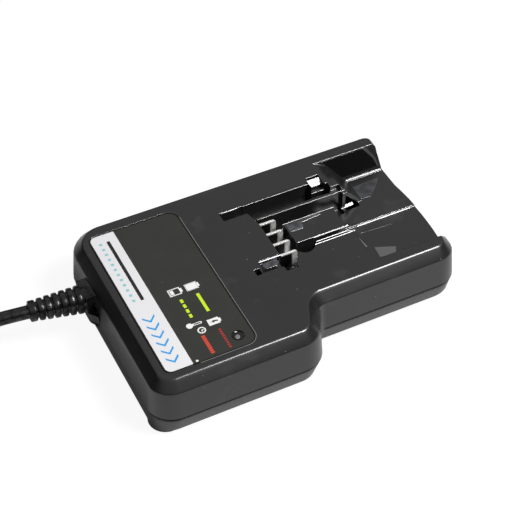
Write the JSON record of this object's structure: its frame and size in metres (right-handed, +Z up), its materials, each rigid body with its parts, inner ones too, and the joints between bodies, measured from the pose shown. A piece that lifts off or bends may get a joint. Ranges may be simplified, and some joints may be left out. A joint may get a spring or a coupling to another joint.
{
  "type": "power tool battery charger",
  "caption": "Low black charger with an open slide-in battery bay, upright contact blades beside a tongue, an inlaid label panel, a stepped near side and a coiled mains lead with plug.",
  "frame": {"origin": "centre of the base's bounding box, at the height the rubber feet stand on", "axes": "+X towards the battery end, +Y towards the straight far side, +Z up"},
  "size_m": [0.3334, 0.1076, 0.0308],
  "materials": {
    "housing_black": "satin, fine grain",
    "base_black": "satin",
    "panel_film": "matt printed film",
    "strip_white": "smooth",
    "window_clear": "clear, tinted",
    "led_red": "tinted clear",
    "contact_metal": "nickel plated, bright",
    "block_black": "satin",
    "board_green": "lacquered",
    "ferrite": "matt",
    "bobbin_tape": "tape-wound",
    "capacitor_sleeve": "shrink sleeve",
    "choke_winding": "enamelled wire",
    "chip_black": "matt",
    "fuse_ceramic": "glazed",
    "sink_aluminium": "extruded",
    "small_parts_mixed": "matt",
    "screw_steel": "zinc plated",
    "foot_rubber": "matt",
    "wire_blue": "smooth",
    "cord_black": "satin",
    "tie_black": "satin",
    "pin_nickel": "polished"
  },
  "bodies": {
    "root": {"upper_housing": "housing_black", "lower_housing": "base_black", "label_panel": "panel_film", "label_strip": "strip_white", "indicator_window": "window_clear", "status_led": "led_red", "contact_blade_1": "contact_metal", "contact_blade_2": "contact_metal", "contact_blade_3": "contact_metal", "contact_blade_4": "contact_metal", "terminal_block": "block_black", "circuit_board": "board_green", "transformer_core": "ferrite", "transformer_bobbin": "bobbin_tape", "input_capacitor": "capacitor_sleeve", "output_capacitors": "capacitor_sleeve", "filter_choke": "choke_winding", "bridge_rectifier": "chip_black", "mains_fuse": "fuse_ceramic", "heat_sink": "sink_aluminium", "power_transistor": "chip_black", "output_diode": "chip_black", "control_chip": "chip_black", "small_parts": "small_parts_mixed", "board_screws": "screw_steel", "housing_screws": "screw_steel", "rubber_feet": "foot_rubber", "lead_wires": "wire_blue", "strain_relief": "cord_black", "mains_cord": "cord_black", "cord_coil": "cord_black", "cord_tie": "tie_black", "plug_body": "cord_black", "plug_pins": "pin_nickel"}
  },
  "joints": []
}
